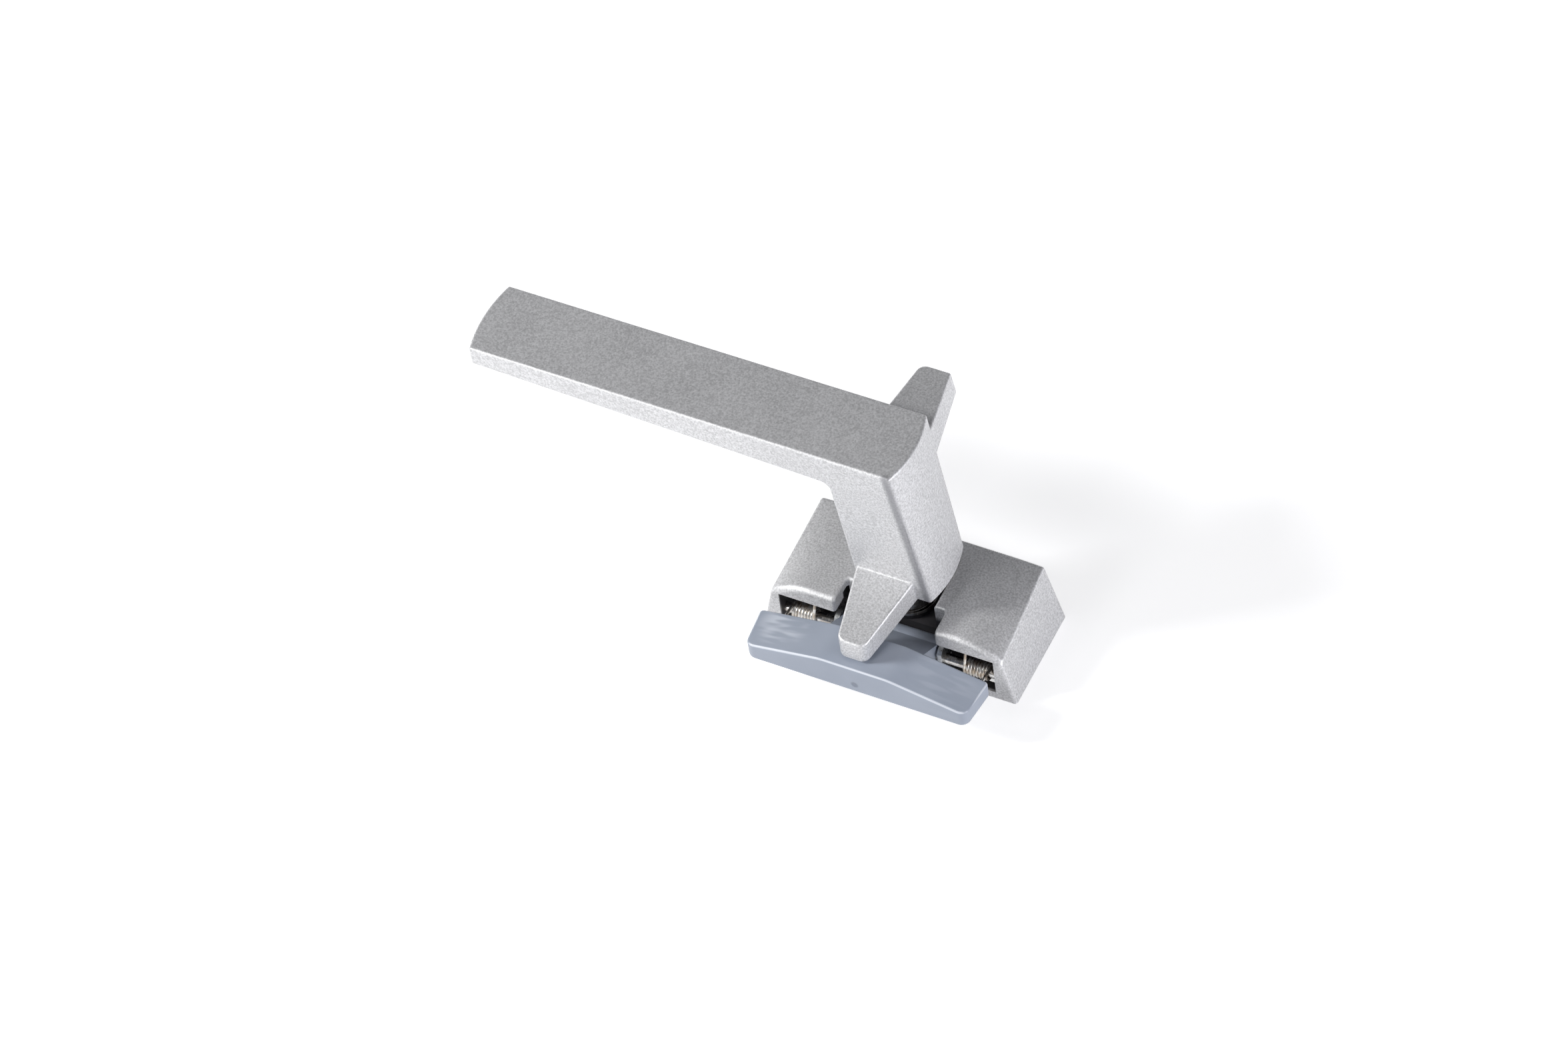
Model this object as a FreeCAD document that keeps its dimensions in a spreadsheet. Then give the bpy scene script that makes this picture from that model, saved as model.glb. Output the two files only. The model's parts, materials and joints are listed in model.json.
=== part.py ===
"""Window fastener: a cast lever that turns over a sprung nylon clamp pad.

Lengths are millimetres. X runs along the base, Y to the back and Z up from the mounting face.
The origin is the middle of the mounting face, on the line of the lever's spindle.
The lever is at rest along the base, with its front spur closed over the pad.
"""
import FreeCAD
import Part
import Sketcher
import math
import os

from FreeCAD import Placement, Rotation, Vector

doc = FreeCAD.newDocument("window_fastener")
sheet = doc.addObject("Spreadsheet::Sheet", "sizes")
X_AXIS = Vector(1, 0, 0)
Y_AXIS = Vector(0, 1, 0)
Z_AXIS = Vector(0, 0, 1)


class Size:
    """A length with its value and the formula that gives it from the sheet."""

    def __init__(self, value, formula):
        self.value = float(value)
        self.formula = formula

    def __add__(self, other):
        other = as_size(other)
        return Size(self.value + other.value, f"({self.formula} + {other.formula})")

    def __sub__(self, other):
        other = as_size(other)
        return Size(self.value - other.value, f"({self.formula} - {other.formula})")

    def __rsub__(self, other):
        return as_size(other) - self

    def __mul__(self, other):
        other = as_size(other)
        return Size(self.value * other.value, f"({self.formula} * {other.formula})")

    def __truediv__(self, other):
        other = as_size(other)
        return Size(self.value / other.value, f"({self.formula} / {other.formula})")

    def __neg__(self):
        return Size(-self.value, f"(0 - {self.formula})")

    def root(self):
        return Size(math.sqrt(self.value), f"sqrt({self.formula})")

    __radd__ = __add__
    __rmul__ = __mul__


def as_size(number):
    """Lets a plain factor such as 2 stand beside the sizes in a formula."""
    if isinstance(number, Size):
        return number
    return Size(number, repr(float(number)))


def size(name, value):
    """Writes one driving length to the sheet and returns it."""
    size.row += 1
    cell = f"B{size.row}"
    sheet.set(f"A{size.row}", name)
    sheet.set(cell, str(value))
    sheet.setAlias(cell, name)
    return Size(value, f"sizes.{name}")


size.row = 0

# Clearances that the fits are made with
sliding_gap = size("sliding_gap", 0.3)
running_clearance = size("running_clearance", 0.05)
seat_clearance = size("seat_clearance", 0.02)
washer_play = size("washer_play", 0.1)

# Housing: a casting with two hollow shoulders and a channel between them
base_length = size("base_length", 66.0)
base_depth = size("base_depth", 28.0)
half_length = base_length / 2
half_depth = base_depth / 2
housing_top = size("housing_top", 17.7)
end_draft = size("end_draft", 4.1)
front_draft = size("front_draft", 0.5)
back_draft = size("back_draft", 0.2)
corner_drop = size("corner_drop", 4.3)
back_drop = size("back_drop", 0.15)
shoulder_run = size("shoulder_run", 14.5)
flat_half = half_length - shoulder_run
channel_half = size("channel_half", 9.8)
channel_corner = size("channel_corner", 5.0)
inner_wall = size("inner_wall", 2.6)
cavity_inner = channel_half + inner_wall
end_wall = size("end_wall", 5.2)
slot_half = half_length - end_wall
slot_top = size("slot_top", 13.3)
slot_bottom = size("slot_bottom", 2.2)
slot_depth = size("slot_depth", 2.6)
slot_back = half_depth - slot_depth
back_wall = size("back_wall", 2.4)
cavity_back = half_depth - back_wall
mouth_depth = size("mouth_depth", 7.5)
mouth_back = half_depth - mouth_depth
roof_wall = size("roof_wall", 2.4)
roof_pocket_top = housing_top - roof_wall
roof_pocket_inset = size("roof_pocket_inset", 12.0)
roof_pocket_half = half_length - roof_pocket_inset
roof_pocket_setback = size("roof_pocket_setback", 5.0)
web_low = size("web_low", 5.2)
web_top = size("web_top", 9.0)
casting_round = size("casting_round", 0.8)
lip_round = size("lip_round", 1.6)

# Base plate, its screws and the tapped bosses that the fastener is fixed by
plate_thickness = size("plate_thickness", 1.2)
plate_margin = size("plate_margin", 2.6)
plate_back_margin = size("plate_back_margin", 1.7)
tongue_inset = size("tongue_inset", 9.0)
tongue_outer = half_length - tongue_inset
fixing_inset = size("fixing_inset", 12.5)
fixing_side = half_length - fixing_inset
fixing_back = size("fixing_back", 2.5)
fixing_bore = size("fixing_bore", 2.1)
fixing_depth = size("fixing_depth", 10.0)
fixing_boss = size("fixing_boss", 4.4)
fixing_clear = size("fixing_clear", 2.75)
screw_inset = size("screw_inset", 7.7)
screw_side = half_length - screw_inset
screw_back_inset = size("screw_back_inset", 5.6)
screw_front_inset = size("screw_front_inset", 9.4)
screw_radius = size("screw_radius", 1.25)
screw_length = size("screw_length", 6.5)
screw_head = size("screw_head", 2.3)
screw_boss = size("screw_boss", 2.7)
socket_share = 0.6

# Hinge pin, ears and torsion springs
pin_radius = size("pin_radius", 1.25)
pin_end_wall = size("pin_end_wall", 2.6)
pin_half = half_length - pin_end_wall
pin_setback = size("pin_setback", 2.8)
pin_forward = half_depth - pin_setback
pin_height = size("pin_height", 5.5)
ear_play = size("ear_play", 0.4)
ear_inner = cavity_inner + ear_play
mouth_play = size("mouth_play", 0.1)
mouth_half = ear_inner + mouth_play
ear_back = size("ear_back", 2.4)
ear_front = size("ear_front", 2.1)
ear_shoulder = size("ear_shoulder", 3.3)
ear_crown = size("ear_crown", 2.6)
wire_radius = size("wire_radius", 0.4)
coil_inset = size("coil_inset", 13.4)
coil_start = half_length - coil_inset
coil_pitch = size("coil_pitch", 0.9)
coil_turns = size("coil_turns", 7)
coil_play = size("coil_play", 0.2)
upper_leg_back = size("upper_leg_back", 0.6)
lower_leg_reach = size("lower_leg_reach", 11.8)
wire_sides = 10
bend_swell = 1.05

# Clamp pad: a nylon bar with a crown in its middle and a lug round the pin
pad_back_length = size("pad_back_length", 59.2)
pad_end_taper = size("pad_end_taper", 1.2)
pad_gap = size("pad_gap", 5.3)
pad_back = half_depth + pad_gap
pad_depth = size("pad_depth", 11.0)
pad_front = pad_back + pad_depth
pad_low = size("pad_low", 9.2)
pad_end_top = size("pad_end_top", 13.6)
crown_rise = size("crown_rise", 0.2)
pad_crown = housing_top + crown_rise
crown_half = size("crown_half", 8.5)
crown_blend = size("crown_blend", 10.2)
pad_corner = size("pad_corner", 2.4)
pad_back_corner = size("pad_back_corner", 1.0)
pad_round = size("pad_round", 0.7)
lug_radius = size("lug_radius", 4.4)
lug_root = size("lug_root", 3.0)
lug_half = ear_inner - sliding_gap * 2

# Spindle, its bush and the washers
journal_radius = size("journal_radius", 3.5)
bush_radius = size("bush_radius", 4.5)
flange_radius = size("flange_radius", 6.8)
flange_thickness = size("flange_thickness", 1.2)
washer_thickness = size("washer_thickness", 0.8)
arch_height = size("arch_height", 1.0)
arch_thickness = size("arch_thickness", 0.35)
arch_play = size("arch_play", 0.3)
collar_radius = size("collar_radius", 6.4)
square_side = size("square_side", 9.0)
square_top = size("square_top", 34.0)
thread_radius = size("thread_radius", 2.5)
thread_end = size("thread_end", 1.6)
nut_flats = size("nut_flats", 8.0)
nut_height = size("nut_height", 2.6)
lower_washer_radius = size("lower_washer_radius", 5.4)

# Lever: arm, leaning neck, hub and the two spurs, in one casting
arm_top = size("arm_top", 67.4)
arm_width = size("arm_width", 20.6)
arm_tip = size("arm_tip", 103.5)
arm_tip_round = size("arm_tip_round", 38.0)
arm_tip_depth = size("arm_tip_depth", 5.8)
arm_tip_under = arm_top - arm_tip_depth
arm_root_depth = size("arm_root_depth", 9.4)
arm_root_under = arm_top - arm_root_depth
neck_left_top = size("neck_left_top", 12.5)
neck_left_low = size("neck_left_low", 8.2)
neck_right_top = size("neck_right_top", 4.9)
neck_right_low = size("neck_right_low", 10.2)
neck_rise = size("neck_rise", 4.9)
neck_low = housing_top + neck_rise
side_draft = size("side_draft", 1.2)
neck_low_half = arm_width / 2 - side_draft
end_round = size("end_round", 28.0)
elbow_round = size("elbow_round", 2.5)
hub_radius = size("hub_radius", 7.9)
hub_rise = size("hub_rise", 1.0)
hub_low = housing_top + hub_rise
lever_round = size("lever_round", 0.7)
spur_round = size("spur_round", 0.6)
spur_tip_round = size("spur_tip_round", 2.3)
spur_seat = size("spur_seat", 0.8)
front_spur_setback = size("front_spur_setback", 2.2)
front_spur_reach = pad_front - front_spur_setback
front_root_left = size("front_root_left", 8.0)
front_root_right = size("front_root_right", 7.0)
front_root_drop = size("front_root_drop", 1.4)
front_root_low = neck_low - front_root_drop
front_root_height = size("front_root_height", 7.4)
front_root_top = front_root_low + front_root_height
front_tip_left = size("front_tip_left", 4.4)
front_tip_right = size("front_tip_right", 2.6)
front_tip_clear = size("front_tip_clear", 0.6)
front_tip_low = pad_crown + front_tip_clear
front_tip_height = size("front_tip_height", 6.4)
front_tip_top = front_tip_low + front_tip_height
back_spur_reach = size("back_spur_reach", 29.9)
back_spur_lean = size("back_spur_lean", 1.0)
back_root_left = size("back_root_left", 8.5)
back_root_right = size("back_root_right", 5.0)
back_root_drop = size("back_root_drop", 7.3)
back_root_top = arm_top - back_root_drop
back_root_height = size("back_root_height", 8.1)
back_root_low = back_root_top - back_root_height
back_tip_left = size("back_tip_left", 6.6)
back_tip_right = size("back_tip_right", 1.1)
back_tip_drop = size("back_tip_drop", 9.1)
back_tip_top = arm_top - back_tip_drop
back_tip_height = size("back_tip_height", 6.7)
back_tip_low = back_tip_top - back_tip_height
grub_radius = size("grub_radius", 2.0)
grub_rise = size("grub_rise", 4.4)
grub_height = neck_low + grub_rise
grub_length = size("grub_length", 4.0)

doc.recompute()
ZERO = Size(0, "0")
FAR = Size(200, "200")

# How far a cut starts outside the face that it opens, how far two parts of one piece run
# into each other, how far the casting's sections run past its ends, and the spurs' roots inside
OVERCUT = Size(5, "5")
OVERLAP = Size(1, "1")
OVERRUN = Size(1.5, "1.5")
ROOT_DEPTH = Size(1.5, "1.5")

# Places nearer than this are the same, and faces that meet at less than this run on
SAME = 0.01
SMOOTH_ANGLE = 8


def new_body(label):
    """Starts a piece that is built up by sketches and features."""
    body = doc.addObject("PartDesign::Body", label)
    body.Label = label
    return body


def plane_of(body, role):
    """Finds one of the piece's own origin planes."""
    for feature in body.Origin.OriginFeatures:
        if feature.Role == role:
            return feature
    raise RuntimeError(f"{body.Label} has no {role}")


def bind(target, prop, length):
    """Sets a property and ties it to the sheet."""
    target.setExpression(prop, length.formula)


def pin_coordinate(sketch, direction, geometry, point, length):
    """Holds one coordinate of a sketch point at a size of the sheet."""
    if abs(length.value) < 1e-9:
        axis = -2 if direction == "DistanceX" else -1
        sketch.addConstraint(Sketcher.Constraint("PointOnObject", geometry, point, axis))
        return
    if length.value > 0:
        constraint = Sketcher.Constraint(direction, -1, 1, geometry, point, length.value)
    else:
        length = -length
        constraint = Sketcher.Constraint(direction, geometry, point, -1, 1, length.value)
    index = sketch.addConstraint(constraint)
    sketch.setExpression(f"Constraints[{index}]", length.formula)


def new_sketch(body, role, name, offset=ZERO):
    """Opens a sketch on an origin plane of the piece, moved along the plane's normal."""
    sketch = body.newObject("Sketcher::SketchObject", name)
    sketch.AttachmentSupport = (plane_of(body, role), [""])
    sketch.MapMode = "FlatFace"
    bind(sketch, "AttachmentOffset.Base.z", offset)
    return sketch


def arc_centre(start, end, radius, hollow):
    """Gives the centre of an arc that bulges to the right of its chord, or left if hollow."""
    chord = end - start
    half = chord.Length / 2
    rise = math.sqrt(radius * radius - half * half)
    left = Vector(-chord.y, chord.x, 0).normalize()
    middle = (start + end) * 0.5
    return middle - left * rise if hollow else middle + left * rise


def draw_outline(sketch, corners, arcs=None):
    """Draws a closed outline, its corners counter-clockwise.

    An edge that arcs names by its number is round: a positive radius bulges away from the
    outline's right-hand side, which is outwards, and a hollow one bulges the other way.
    """
    arcs = arcs or {}
    points = [Vector(x.value, y.value, 0) for x, y in corners]
    first = sketch.GeometryCount
    ends = {}
    for number, start in enumerate(points):
        end = points[(number + 1) % len(points)]
        ends[number] = (1, 2)
        if number not in arcs:
            sketch.addGeometry(Part.LineSegment(start, end), False)
            continue
        radius, hollow = arcs[number]
        centre = arc_centre(start, end, radius.value, hollow)
        begin = math.atan2(start.y - centre.y, start.x - centre.x)
        finish = math.atan2(end.y - centre.y, end.x - centre.x)
        circle = Part.Circle(centre, Z_AXIS, radius.value)
        if hollow:
            begin, finish = finish, begin
            ends[number] = (2, 1)
        sketch.addGeometry(Part.ArcOfCircle(circle, begin, finish), False)
    for number in range(len(points)):
        following = (number + 1) % len(points)
        sketch.addConstraint(Sketcher.Constraint(
            "Coincident", first + number, ends[number][1], first + following, ends[following][0]))
    for number, (x, y) in enumerate(corners):
        pin_coordinate(sketch, "DistanceX", first + number, ends[number][0], x)
        pin_coordinate(sketch, "DistanceY", first + number, ends[number][0], y)
    for number, (radius, hollow) in arcs.items():
        index = sketch.addConstraint(Sketcher.Constraint("Radius", first + number, radius.value))
        sketch.setExpression(f"Constraints[{index}]", radius.formula)


def draw_circle(sketch, x, y, radius):
    """Draws a circle whose centre and radius come from the sheet."""
    circle = Part.Circle(Vector(x.value, y.value, 0), Z_AXIS, radius.value)
    number = sketch.addGeometry(circle, False)
    pin_coordinate(sketch, "DistanceX", number, 3, x)
    pin_coordinate(sketch, "DistanceY", number, 3, y)
    index = sketch.addConstraint(Sketcher.Constraint("Radius", number, radius.value))
    sketch.setExpression(f"Constraints[{index}]", radius.formula)


def rectangle(x_low, x_high, y_low, y_high):
    """Corners of a rectangle, counter-clockwise."""
    return [(x_low, y_low), (x_high, y_low), (x_high, y_high), (x_low, y_high)]


def extrude(body, kind, name, sketch, length, reverse=False, middle=False):
    """Adds or cuts a prism on a sketch."""
    feature = body.newObject(kind, name)
    feature.Profile = sketch
    feature.Midplane = middle
    feature.Reversed = reverse
    bind(feature, "Length", length)
    doc.recompute()
    return feature


def add(body, name, sketch, length, reverse=False, middle=False):
    """Pads a sketch along its plane's normal."""
    return extrude(body, "PartDesign::Pad", name, sketch, length, reverse, middle)


def cut(body, name, sketch, length, reverse=False, middle=False):
    """Pockets a sketch, against its plane's normal unless reversed."""
    before = body.Shape.Volume
    feature = extrude(body, "PartDesign::Pocket", name, sketch, length, reverse, middle)
    if body.Shape.Volume > before - 1e-6:
        raise RuntimeError(f"{name} cuts nothing")
    return feature


def is_sharp(shape, edge):
    """True where the two faces beside an edge meet at an angle."""
    middle = edge.valueAt((edge.FirstParameter + edge.LastParameter) / 2)
    normals = []
    for face in shape.ancestorsOfType(edge, Part.Face):
        u, v = face.Surface.parameter(middle)
        normals.append(face.normalAt(u, v))
    return len(normals) == 2 and math.degrees(normals[0].getAngle(normals[1])) > SMOOTH_ANGLE


def round_edges(body, name, radius, wanted):
    """Rounds the sharp edges that the test picks."""
    shape = body.Shape
    picked = []
    for number, edge in enumerate(shape.Edges, 1):
        if wanted(edge) and is_sharp(shape, edge):
            picked.append(f"Edge{number}")
    if not picked:
        raise RuntimeError(f"{name} finds no edge")
    base = body.Tip
    feature = body.newObject("PartDesign::Fillet", name)
    feature.Base = (base, picked)
    bind(feature, "Radius", radius)
    doc.recompute()
    return feature


def make_housing():
    """Casting with drafted ends, two hollow shoulders and a channel for the lever's hub."""
    body = new_body("housing")
    past_end = half_length + OVERRUN
    past_run = past_end - flat_half
    sections = []
    for name, place, drop in (("back", -half_depth, back_drop), ("front", half_depth, corner_drop)):
        corner_run = half_length - flat_half - end_draft * (housing_top - drop) / housing_top
        corner_arc = (corner_run * corner_run + drop * drop) / (drop * 2)
        fall = corner_arc - (corner_arc * corner_arc - past_run * past_run).root()
        section = new_sketch(body, "XZ_Plane", f"{name}_section", place)
        draw_outline(section, [
            (-past_end, ZERO), (past_end, ZERO), (past_end, housing_top - fall),
            (flat_half, housing_top), (-flat_half, housing_top), (-past_end, housing_top - fall),
        ], {2: (corner_arc, False), 4: (corner_arc, False)})
        sections.append(section)
    casting = body.newObject("PartDesign::AdditiveLoft", "casting")
    casting.Profile = sections[0]
    casting.Sections = [sections[1]]
    casting.Ruled = True
    doc.recompute()
    over = housing_top + OVERCUT
    ends = new_sketch(body, "XZ_Plane", "end_face_lines")
    for sign in (-1, 1):
        corners = [
            (sign * half_length, ZERO), (sign * past_end * 2, ZERO), (sign * past_end * 2, over),
            (sign * (half_length - end_draft), over),
            (sign * (half_length - end_draft), housing_top),
        ]
        draw_outline(ends, corners if sign > 0 else corners[::-1])
    cut(body, "end_faces", ends, FAR, middle=True)
    front = new_sketch(body, "YZ_Plane", "front_face_line")
    draw_outline(front, [
        (-half_depth - OVERCUT, ZERO), (-half_depth, ZERO),
        (front_draft - half_depth, housing_top), (front_draft - half_depth, over),
        (-half_depth - OVERCUT, over),
    ])
    cut(body, "front_face", front, FAR, middle=True)
    back = new_sketch(body, "YZ_Plane", "back_face_line")
    draw_outline(back, [
        (half_depth, ZERO), (half_depth + OVERCUT, ZERO), (half_depth + OVERCUT, over),
        (half_depth - back_draft, over), (half_depth - back_draft, housing_top),
    ])
    cut(body, "back_face", back, FAR, middle=True)
    mouth = new_sketch(body, "XY_Plane", "mouth_plan")
    draw_outline(mouth, rectangle(-mouth_half, mouth_half, -half_depth - OVERCUT, -mouth_back))
    cut(body, "mouth", mouth, over, reverse=True)
    channel = new_sketch(body, "XY_Plane", "channel_plan", web_top)
    straight = channel_half - channel_corner
    draw_outline(channel, [
        (-channel_half, -mouth_back - OVERLAP), (channel_half, -mouth_back - OVERLAP),
        (channel_half, cavity_back - channel_corner), (straight, cavity_back),
        (-straight, cavity_back), (-channel_half, cavity_back - channel_corner),
    ], {2: (channel_corner, False), 4: (channel_corner, False)})
    cut(body, "channel", channel, over, reverse=True)
    round_edges(body, "lips", lip_round, front_lip)
    round_edges(body, "casting_edges", casting_round, outer_edge)
    outside = -half_depth - OVERCUT
    roof_front = roof_pocket_setback - half_depth
    for side, sign in (("left", -1), ("right", 1)):
        for name, outer, front_y, back_y, low, high in (
            ("cavity", slot_half, -slot_back, cavity_back, ZERO, slot_top),
            ("slot", slot_half, outside, OVERLAP - slot_back, slot_bottom, slot_top),
            ("roof_pocket", roof_pocket_half, roof_front, cavity_back, slot_top - OVERLAP,
             roof_pocket_top),
        ):
            near = cavity_inner if sign > 0 else -outer
            far = outer if sign > 0 else -cavity_inner
            plan = new_sketch(body, "XY_Plane", f"{side}_{name}_plan", low)
            draw_outline(plan, rectangle(near, far, front_y, back_y))
            cut(body, f"{side}_{name}", plan, high - low, reverse=True)
        ear_side = ear_inner + plate_thickness + sliding_gap
        near = cavity_inner if sign > 0 else -ear_side
        far = ear_side if sign > 0 else -cavity_inner
        gap = new_sketch(body, "XY_Plane", f"{side}_ear_gap_plan")
        draw_outline(gap, rectangle(near, far, outside, OVERLAP - slot_back))
        cut(body, f"{side}_ear_gap", gap, slot_bottom + OVERLAP, reverse=True)
    under = new_sketch(body, "XY_Plane", "under_web_plan")
    draw_outline(under, rectangle(-channel_half, channel_half, -mouth_back - OVERLAP, cavity_back))
    cut(body, "under_web", under, web_low, reverse=True)
    for name, x, y, radius in boss_places():
        boss = new_sketch(body, "XY_Plane", f"{name}_boss_plan", plate_thickness)
        draw_circle(boss, x, y, radius)
        add(body, f"{name}_boss", boss, slot_top - plate_thickness + OVERLAP)
    recess = new_sketch(body, "XY_Plane", "plate_recess_plan")
    draw_outline(recess, plate_outline(seat_clearance))
    cut(body, "plate_recess", recess, plate_thickness, reverse=True)
    for name, x, y, radius in boss_places():
        bore = fixing_bore if name.startswith("fixing") else screw_radius + seat_clearance
        depth = fixing_depth if name.startswith("fixing") else screw_length
        hole = new_sketch(body, "XY_Plane", f"{name}_hole_plan")
        draw_circle(hole, x, y, bore)
        cut(body, f"{name}_hole", hole, plate_thickness + depth, reverse=True)
    pin_line = new_sketch(body, "YZ_Plane", "pin_bore_plan")
    draw_circle(pin_line, -pin_forward, pin_height, pin_radius + seat_clearance)
    cut(body, "pin_bore", pin_line, pin_half * 2 + seat_clearance * 2, middle=True)
    bush_line = new_sketch(body, "XY_Plane", "bush_bore_plan")
    draw_circle(bush_line, ZERO, ZERO, bush_radius + seat_clearance)
    cut(body, "bush_bore", bush_line, web_top + OVERLAP, reverse=True)
    return body


def front_lip(edge):
    """True for the curved upper rims of the casting's front face."""
    box = edge.BoundBox
    front = half_depth.value - front_draft.value
    return box.ZMin > web_top.value + OVERRUN.value and box.YMax < lip_round.value - front


def outer_edge(edge):
    """True for the rims of the casting's top skin and for its upright outer corners."""
    box = edge.BoundBox
    seam = box.XLength < SAME and abs(abs(box.XMax) - flat_half.value) < SAME
    upright = box.ZLength > web_top.value and abs(box.Center.x) > cavity_inner.value
    return not seam and (upright or box.ZMin > web_top.value + OVERRUN.value)


def boss_places():
    """Names, centres and radii of the tapped bosses inside the shoulders."""
    places = []
    for side, sign in (("left", -1), ("right", 1)):
        places.append((f"fixing_{side}", sign * fixing_side, fixing_back, fixing_boss))
        places.append((f"screw_back_{side}", sign * screw_side, half_depth - screw_back_inset,
                       screw_boss))
        places.append((f"screw_front_{side}", sign * screw_side, screw_front_inset - half_depth,
                       screw_boss))
    return places


def plate_outline(play):
    """Outline of the base plate, grown by the play that its recess leaves round it."""
    side = half_length - plate_margin + play
    back = half_depth - plate_back_margin + play
    front = -slot_back - play
    inner_front = -mouth_back - play
    return [
        (-side, inner_front), (-tongue_outer - play, inner_front), (-tongue_outer - play, front),
        (play - ear_inner, front), (play - ear_inner, inner_front),
        (ear_inner - play, inner_front), (ear_inner - play, front),
        (tongue_outer + play, front), (tongue_outer + play, inner_front), (side, inner_front),
        (side, back), (-side, back),
    ]


def make_base_plate():
    """Pressed steel plate that closes the casting, with two ears that carry the hinge pin."""
    body = new_body("base_plate")
    outline = new_sketch(body, "XY_Plane", "outline")
    draw_outline(outline, plate_outline(ZERO))
    add(body, "sheet_metal", outline, plate_thickness)
    low = plate_thickness / 2
    shoulder = pin_height + ear_shoulder
    back = ear_back - pin_forward
    front = -pin_forward - ear_front
    for side, sign in (("left", -1), ("right", 1)):
        start = ear_inner if sign > 0 else -ear_inner - plate_thickness
        ear = new_sketch(body, "YZ_Plane", f"{side}_ear_outline", start)
        draw_outline(ear, rectangle(front, back, low, shoulder), {2: (ear_crown, False)})
        add(body, f"{side}_ear", ear, plate_thickness)
    pin_line = new_sketch(body, "YZ_Plane", "pin_hole_plan")
    draw_circle(pin_line, -pin_forward, pin_height, pin_radius + seat_clearance)
    cut(body, "pin_holes", pin_line, tongue_outer * 2, middle=True)
    for name, x, y, radius in boss_places():
        if name.startswith("fixing"):
            hole = new_sketch(body, "XY_Plane", f"{name}_plan")
            draw_circle(hole, x, y, fixing_clear)
            cut(body, name, hole, plate_thickness, reverse=True)
        else:
            countersink = body.newObject("PartDesign::SubtractiveCone", name)
            bind(countersink, "Radius1", screw_head + seat_clearance)
            bind(countersink, "Radius2", screw_radius + seat_clearance)
            bind(countersink, "Height", plate_thickness)
            bind(countersink, "Placement.Base.x", x)
            bind(countersink, "Placement.Base.y", y)
            doc.recompute()
    return body


def make_clamp_pad():
    """Nylon bar, tapered to the front, with a crown that the spur closes over."""
    body = new_body("clamp_pad")
    back_half = pad_back_length / 2
    front_half = back_half - pad_end_taper
    plan = new_sketch(body, "XY_Plane", "bar_plan", pad_low)
    draw_outline(plan, [
        (-front_half, -pad_front), (front_half, -pad_front),
        (back_half, -pad_back), (-back_half, -pad_back),
    ])
    add(body, "bar", plan, pad_crown - pad_low)
    relief = new_sketch(body, "XZ_Plane", "crown_relief", pad_front)
    over = pad_crown + OVERCUT
    for sign in (-1, 1):
        corners = [
            (sign * crown_half, pad_crown), (sign * (back_half + OVERLAP), pad_end_top),
            (sign * (back_half + OVERLAP), over), (sign * crown_half, over),
        ]
        draw_outline(relief, corners if sign > 0 else corners[::-1])
    cut(body, "ramps", relief, FAR / 2, middle=True)
    round_edges(body, "crown_shoulders", crown_blend, crown_shoulder)
    round_edges(body, "front_corners", pad_corner, front_corner)
    round_edges(body, "back_corners", pad_back_corner, back_corner)
    round_edges(body, "bar_edges", pad_round, bar_rim)
    lug = new_sketch(body, "YZ_Plane", "lug_outline", -lug_half)
    top = pad_crown - pad_round
    draw_outline(lug, [
        (-pad_back - lug_root, pad_low + OVERLAP), (-pin_forward, pin_height - lug_radius),
        (-pin_forward, pin_height + lug_radius), (-pad_back - lug_root, top),
    ])
    add(body, "lug", lug, lug_half * 2)
    knuckle = new_sketch(body, "YZ_Plane", "knuckle_outline", -lug_half)
    draw_circle(knuckle, -pin_forward, pin_height, lug_radius)
    add(body, "knuckle", knuckle, lug_half * 2)
    bore = new_sketch(body, "YZ_Plane", "pin_bore_plan")
    draw_circle(bore, -pin_forward, pin_height, pin_radius + running_clearance)
    cut(body, "pin_bore", bore, FAR, middle=True)
    return body


def crown_shoulder(edge):
    """True for the two lines where the crown meets its ramps."""
    box = edge.BoundBox
    level = abs(box.ZMax - pad_crown.value) < SAME and box.ZLength < SAME
    at_side = abs(abs(box.Center.x) - crown_half.value) < SAME and box.XLength < SAME
    return level and at_side


def is_upright(edge):
    """True for an edge that runs straight up."""
    box = edge.BoundBox
    return box.ZLength > SAME and box.XLength < SAME and box.YLength < SAME


def front_corner(edge):
    """True for the bar's two upright corner edges at its front."""
    return is_upright(edge) and abs(edge.BoundBox.YMin + pad_front.value) < SAME


def back_corner(edge):
    """True for the bar's two upright corner edges at its back."""
    return is_upright(edge) and abs(edge.BoundBox.YMin + pad_back.value) < SAME


def bar_rim(edge):
    """True for the bar's edges round its top and its underside."""
    box = edge.BoundBox
    if box.ZMax < pad_low.value + SAME:
        return True
    across = abs(box.YMax + pad_back.value) < SAME and abs(box.YMin + pad_front.value) < SAME
    return box.ZMin > pad_low.value + SAME and not across


def make_spindle():
    """Steel spindle: thread, journal and collar, with a square for the lever."""
    body = new_body("spindle")
    collar_low = web_top + flange_thickness + washer_thickness + arch_height + washer_play
    journal_low = web_low - washer_play
    profile = new_sketch(body, "XZ_Plane", "turned_profile")
    draw_outline(profile, [
        (ZERO, thread_end), (thread_radius, thread_end), (thread_radius, journal_low),
        (journal_radius, journal_low), (journal_radius, collar_low), (collar_radius, collar_low),
        (collar_radius, hub_low), (ZERO, hub_low),
    ])
    turned = body.newObject("PartDesign::Revolution", "turned")
    turned.Profile = profile
    turned.ReferenceAxis = (profile, ["V_Axis"])
    turned.Angle = 360
    doc.recompute()
    half = square_side / 2
    square = new_sketch(body, "XY_Plane", "square_plan", hub_low)
    draw_outline(square, rectangle(-half, half, -half, half))
    add(body, "square", square, square_top - hub_low)
    return body


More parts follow.
